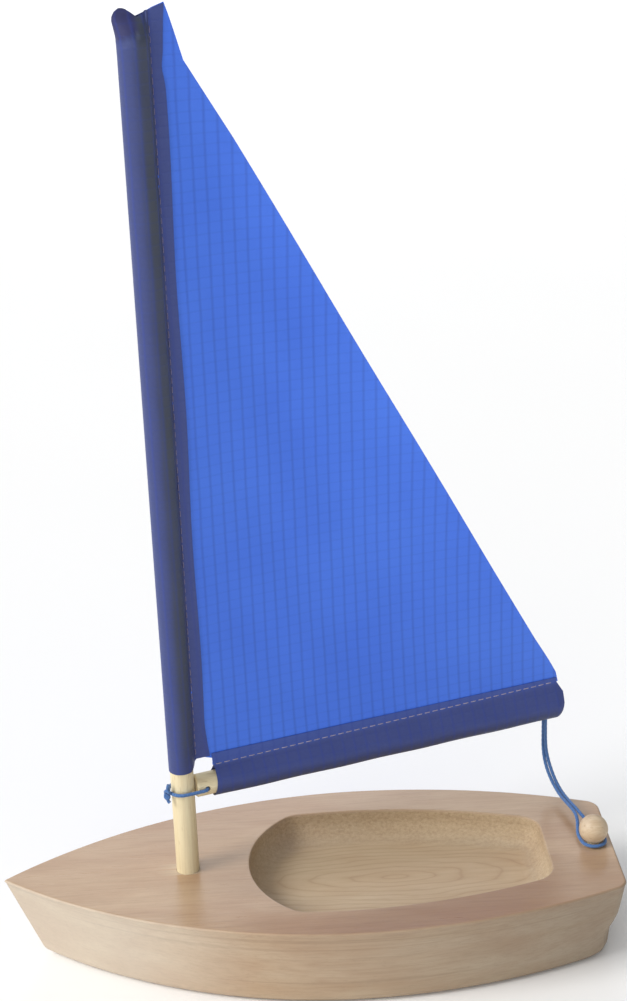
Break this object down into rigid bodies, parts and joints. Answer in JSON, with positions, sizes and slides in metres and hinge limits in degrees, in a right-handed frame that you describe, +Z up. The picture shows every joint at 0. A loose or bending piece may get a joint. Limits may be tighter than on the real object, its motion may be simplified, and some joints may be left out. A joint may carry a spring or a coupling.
{
  "type": "toy boat",
  "caption": "Toy sailing boat: solid wooden hull with a hollowed cockpit, dowel mast and boom, blue cloth sail, and a looped cord from the boom to a ball-headed peg.",
  "frame": {"origin": "middle of the hull's flat bottom, under mid length on the centreline", "axes": "+X towards the bow, +Y to port, +Z up the mast"},
  "size_m": [0.2536, 0.1135, 0.387],
  "materials": {
    "hull_wood": "oiled, satin deck and matt sanded sides",
    "dowel_wood": "bare, finely sanded",
    "ball_wood": "waxed",
    "sail_cloth": "ripstop nylon, slight sheen",
    "thread": "sewing thread",
    "cord": "braided cord"
  },
  "bodies": {
    "hull_body": {"hull": "hull_wood", "mast": "dowel_wood", "peg_ball": "ball_wood", "peg_pin": "dowel_wood", "mainsheet": "cord"},
    "rig": {"boom": "dowel_wood", "sail": "sail_cloth", "luff_thread": "thread", "foot_thread": "thread", "lashing": "cord"}
  },
  "joints": [
    {"name": "boom_swing", "type": "hinge", "parent": "hull_body", "child": "rig", "pos_m": [0.0505, 0, 0.075], "axis": [0, 0, 1], "range_deg": [-39, 3], "deforming": ["mainsheet"]}
  ]
}
